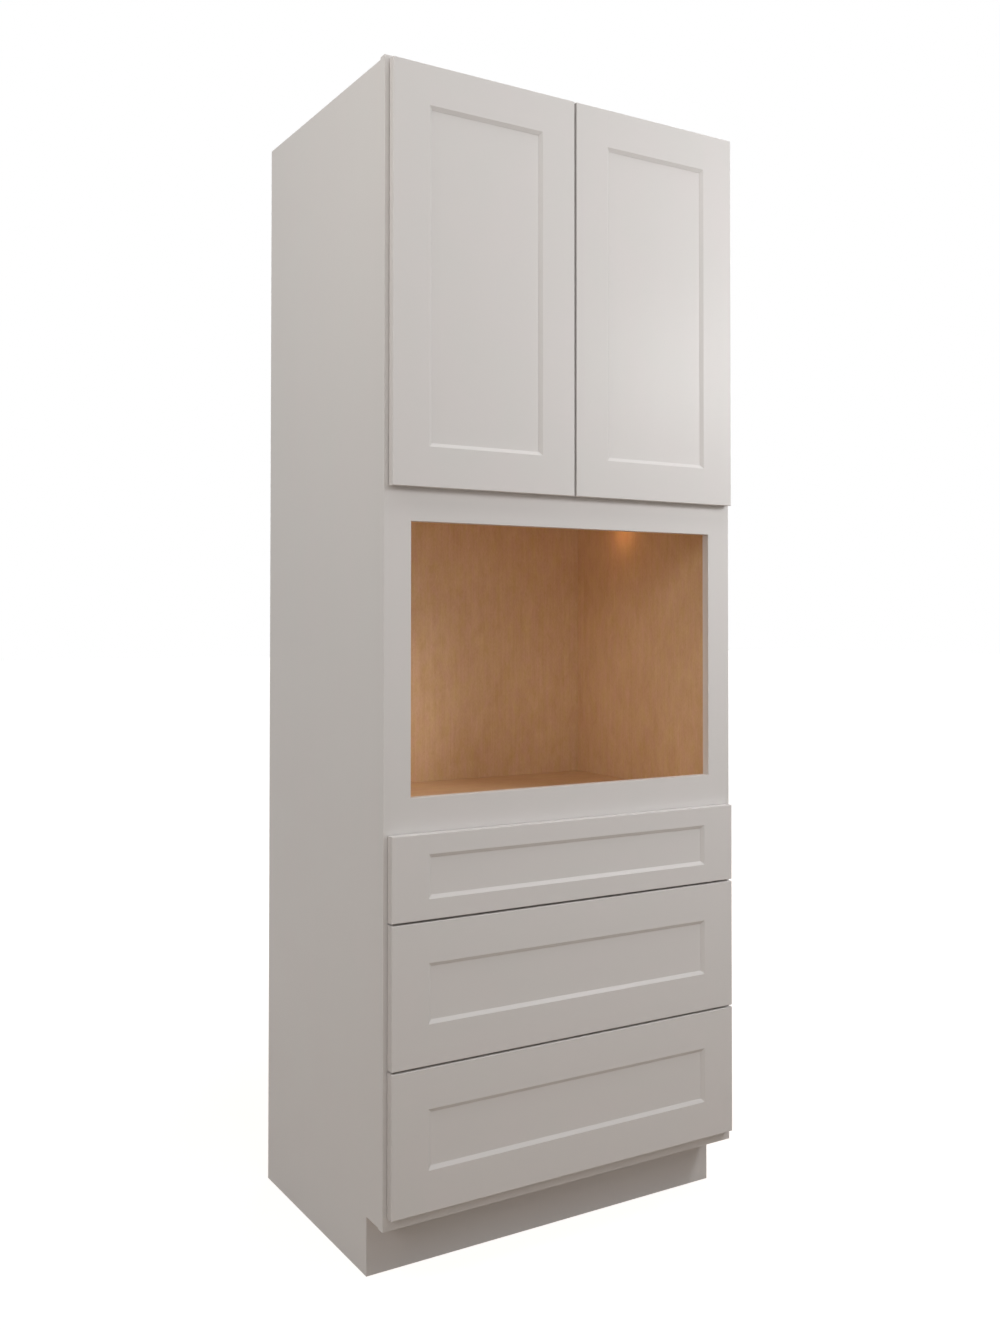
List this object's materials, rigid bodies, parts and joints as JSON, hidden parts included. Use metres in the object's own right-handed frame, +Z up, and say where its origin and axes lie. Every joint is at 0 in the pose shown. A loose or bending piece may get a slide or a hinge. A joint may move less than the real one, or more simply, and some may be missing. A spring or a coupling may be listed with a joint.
{
  "type": "oven cabinet",
  "caption": "Tall framed kitchen cabinet with an open space for a built-in oven, cupboard doors above it, drawers below it and a recessed toe kick.",
  "frame": {"origin": "centre of the footprint, on the floor", "axes": "+X to the right seen from the front, +Y to the wall behind, +Z up"},
  "size_m": [0.8382, 0.599, 2.297],
  "materials": {
    "painted_wood": "satin paint",
    "maple_plywood": "clear satin",
    "plain_wood": "sawn and planed",
    "drawer_wood": "clear satin",
    "zinc_steel": "zinc plated",
    "nickel_steel": "nickel plated",
    "bumper_plastic": "soft clear"
  },
  "bodies": {
    "cabinet": {"adjustable_shelf": "maple_plywood", "back_panel": "maple_plywood", "bottom_frame_rail": "painted_wood", "bottom_panel": "maple_plywood", "closing_bumpers": "bumper_plastic", "drawer_frame_rails": "painted_wood", "hanging_rails": "plain_wood", "hinge_arms": "nickel_steel", "left_frame_stile": "painted_wood", "left_side_panel": "painted_wood", "oven_bottom_rail": "painted_wood", "oven_deck": "maple_plywood", "oven_deck_cleats": "plain_wood", "oven_top_rail": "painted_wood", "right_frame_stile": "painted_wood", "right_side_panel": "painted_wood", "runner_cabinet_members": "zinc_steel", "runner_rear_brackets": "zinc_steel", "shelf_pins": "nickel_steel", "toe_board": "painted_wood", "top_frame_rail": "painted_wood", "top_panel": "maple_plywood", "upper_deck": "maple_plywood"},
    "left_door": {"left_door_bottom_rail": "painted_wood", "left_door_hinge_cups": "nickel_steel", "left_door_hinge_pins": "nickel_steel", "left_door_hinge_stile": "painted_wood", "left_door_meeting_stile": "painted_wood", "left_door_panel": "painted_wood", "left_door_top_rail": "painted_wood"},
    "right_door": {"right_door_bottom_rail": "painted_wood", "right_door_hinge_cups": "nickel_steel", "right_door_hinge_pins": "nickel_steel", "right_door_hinge_stile": "painted_wood", "right_door_meeting_stile": "painted_wood", "right_door_panel": "painted_wood", "right_door_top_rail": "painted_wood"},
    "bottom_drawer": {"bottom_drawer_box_bottom": "drawer_wood", "bottom_drawer_box_ends": "drawer_wood", "bottom_drawer_box_sides": "drawer_wood", "bottom_drawer_carrying_members": "zinc_steel", "bottom_drawer_front_frame": "painted_wood", "bottom_drawer_front_panel": "painted_wood"},
    "bottom_drawer_runner_middles": {"bottom_drawer_middle_members": "zinc_steel"},
    "middle_drawer": {"middle_drawer_box_bottom": "drawer_wood", "middle_drawer_box_ends": "drawer_wood", "middle_drawer_box_sides": "drawer_wood", "middle_drawer_carrying_members": "zinc_steel", "middle_drawer_front_frame": "painted_wood", "middle_drawer_front_panel": "painted_wood"},
    "middle_drawer_runner_middles": {"middle_drawer_middle_members": "zinc_steel"},
    "top_drawer": {"top_drawer_box_bottom": "drawer_wood", "top_drawer_box_ends": "drawer_wood", "top_drawer_box_sides": "drawer_wood", "top_drawer_carrying_members": "zinc_steel", "top_drawer_front_frame": "painted_wood", "top_drawer_front_panel": "painted_wood"},
    "top_drawer_runner_middles": {"top_drawer_middle_members": "zinc_steel"}
  },
  "joints": [
    {"name": "left_door_hinge", "type": "hinge", "parent": "cabinet", "child": "left_door", "pos_m": [-0.4039, -0.2898, 1.8891], "axis": [0, 0, -1], "range_deg": [0, 105]},
    {"name": "right_door_hinge", "type": "hinge", "parent": "cabinet", "child": "right_door", "pos_m": [0.4039, -0.2898, 1.8891], "axis": [0, 0, 1], "range_deg": [0, 105]},
    {"name": "bottom_drawer_slide", "type": "slide", "parent": "cabinet", "child": "bottom_drawer", "axis": [0, -1, 0], "range_m": [0, 0.51]},
    {"name": "bottom_runner_slide", "type": "slide", "parent": "cabinet", "child": "bottom_drawer_runner_middles", "axis": [0, -1, 0], "range_m": [0, 0.255]},
    {"name": "middle_drawer_slide", "type": "slide", "parent": "cabinet", "child": "middle_drawer", "axis": [0, -1, 0], "range_m": [0, 0.51]},
    {"name": "middle_runner_slide", "type": "slide", "parent": "cabinet", "child": "middle_drawer_runner_middles", "axis": [0, -1, 0], "range_m": [0, 0.255]},
    {"name": "top_drawer_slide", "type": "slide", "parent": "cabinet", "child": "top_drawer", "axis": [0, -1, 0], "range_m": [0, 0.51]},
    {"name": "top_runner_slide", "type": "slide", "parent": "cabinet", "child": "top_drawer_runner_middles", "axis": [0, -1, 0], "range_m": [0, 0.255]}
  ],
  "couplings": [
    {"joint": "bottom_runner_slide", "follows": "bottom_drawer_slide", "ratio": 0.5},
    {"joint": "middle_runner_slide", "follows": "middle_drawer_slide", "ratio": 0.5},
    {"joint": "top_runner_slide", "follows": "top_drawer_slide", "ratio": 0.5}
  ]
}
